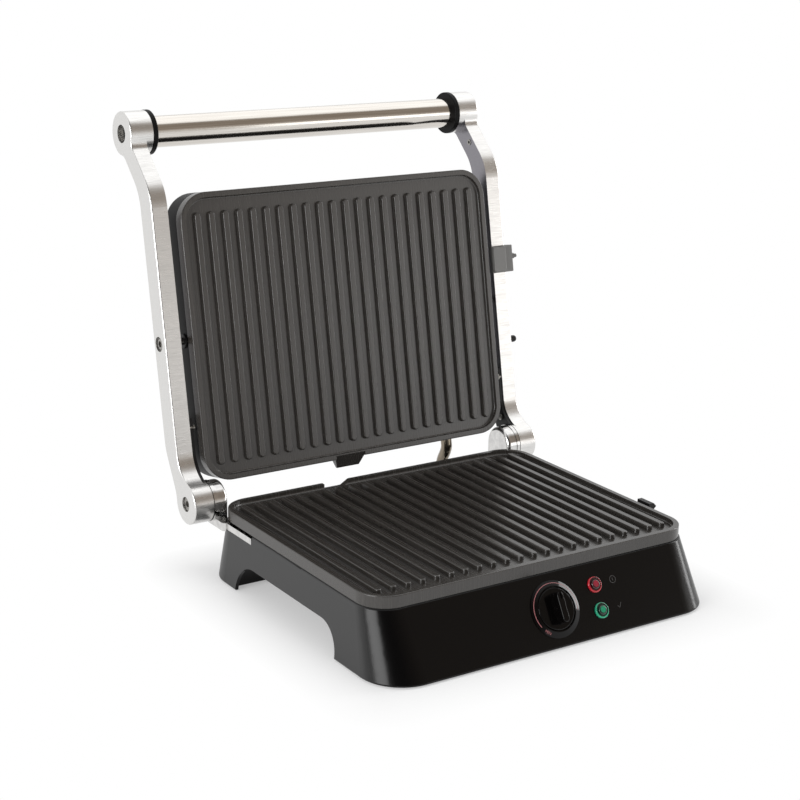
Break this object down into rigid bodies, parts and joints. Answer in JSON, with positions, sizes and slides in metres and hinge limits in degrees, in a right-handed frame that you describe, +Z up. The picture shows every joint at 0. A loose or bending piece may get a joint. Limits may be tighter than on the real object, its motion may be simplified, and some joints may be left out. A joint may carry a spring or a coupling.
{
  "type": "panini press",
  "caption": "Open contact grill with ribbed non-stick plates, aluminium lid arms joined by a tube handle, floating upper plate, sloping front panel with dial and lamps.",
  "frame": {"origin": "on the surface it stands on, under the middle of the open press's outline; the middle plane of the plates and arms is X = -0.0072 m, because the lid lock's pin stands out on the right", "axes": "+Z up, +X to the right seen from the control panel, +Y from the panel to the hinge"},
  "size_m": [0.359, 0.4051, 0.3653],
  "materials": {
    "gloss_black_shell": "gloss",
    "satin_black_plastic": "satin",
    "rubber": "matt",
    "nonstick_plate": "dark non-stick coat",
    "cast_aluminium": "brushed",
    "chrome": "polished",
    "stainless": "polished",
    "conduit_sleeve": "metallic sleeve",
    "screws": "zinc plated",
    "heating_steel": "plain",
    "nylon": "plain",
    "red_lens": "clear",
    "green_lens": "clear"
  },
  "bodies": {
    "base": {"base_housing": "gloss_black_shell", "bottom_cover": "satin_black_plastic", "rubber_feet": "rubber", "bottom_cover_screws": "screws", "lower_grill_plate": "nonstick_plate", "lower_heating_element": "heating_steel", "lower_heat_shield": "heating_steel", "lower_plate_screws": "screws", "right_hinge_bracket": "chrome", "left_hinge_bracket": "chrome", "bracket_screws": "screws", "hinge_pins": "screws", "hinge_washers": "nylon", "lock_catch": "satin_black_plastic", "dial_bezel": "satin_black_plastic", "thermostat_body": "nylon", "red_lamp_lens": "red_lens", "green_lamp_lens": "green_lens", "lamp_holders": "nylon", "terminal_block": "nylon", "base_conduit_gland": "satin_black_plastic", "cord_inlet": "satin_black_plastic", "wiring_conduit": "conduit_sleeve"},
    "lid_arms": {"right_arm": "cast_aluminium", "left_arm": "cast_aluminium", "handle_tube": "stainless", "handle_collars": "satin_black_plastic", "handle_screws": "screws", "pivot_screws": "screws", "right_stop_plate": "satin_black_plastic", "left_stop_plate": "satin_black_plastic", "stop_plate_screws": "screws", "arm_buffer": "satin_black_plastic"},
    "lid_body": {"upper_housing": "satin_black_plastic", "upper_cover": "satin_black_plastic", "pivot_bushes": "nylon", "upper_grill_plate": "nonstick_plate", "upper_heating_element": "heating_steel", "upper_heat_shield": "heating_steel", "upper_plate_screws": "screws", "thermal_fuse": "nylon", "lid_conduit_gland": "satin_black_plastic"},
    "lid_lock": {"lid_lock_slide": "satin_black_plastic"},
    "dial": {"thermostat_knob": "satin_black_plastic", "knob_shaft": "screws"}
  },
  "joints": [
    {"name": "lid_hinge", "type": "hinge", "parent": "base", "child": "lid_arms", "pos_m": [-0.0072, 0.07717, 0.0598], "axis": [-1, 0, 0], "range_deg": [-98.93, 77], "deforming": ["wiring_conduit"]},
    {"name": "plate_float", "type": "hinge", "parent": "lid_arms", "child": "lid_body", "pos_m": [-0.0072, 0.12102, 0.18404], "axis": [-1, 0, 0], "range_deg": [-4, 0]},
    {"name": "lid_lock_slide", "type": "slide", "parent": "lid_arms", "child": "lid_lock", "axis": [0, 0.1896, 0.9819], "range_m": [0, 0.012]},
    {"name": "dial_turn", "type": "hinge", "parent": "base", "child": "dial", "pos_m": [-0.0048, -0.18722, 0.0268], "axis": [0, -0.8673, 0.4978], "range_deg": [-135, 135]}
  ]
}
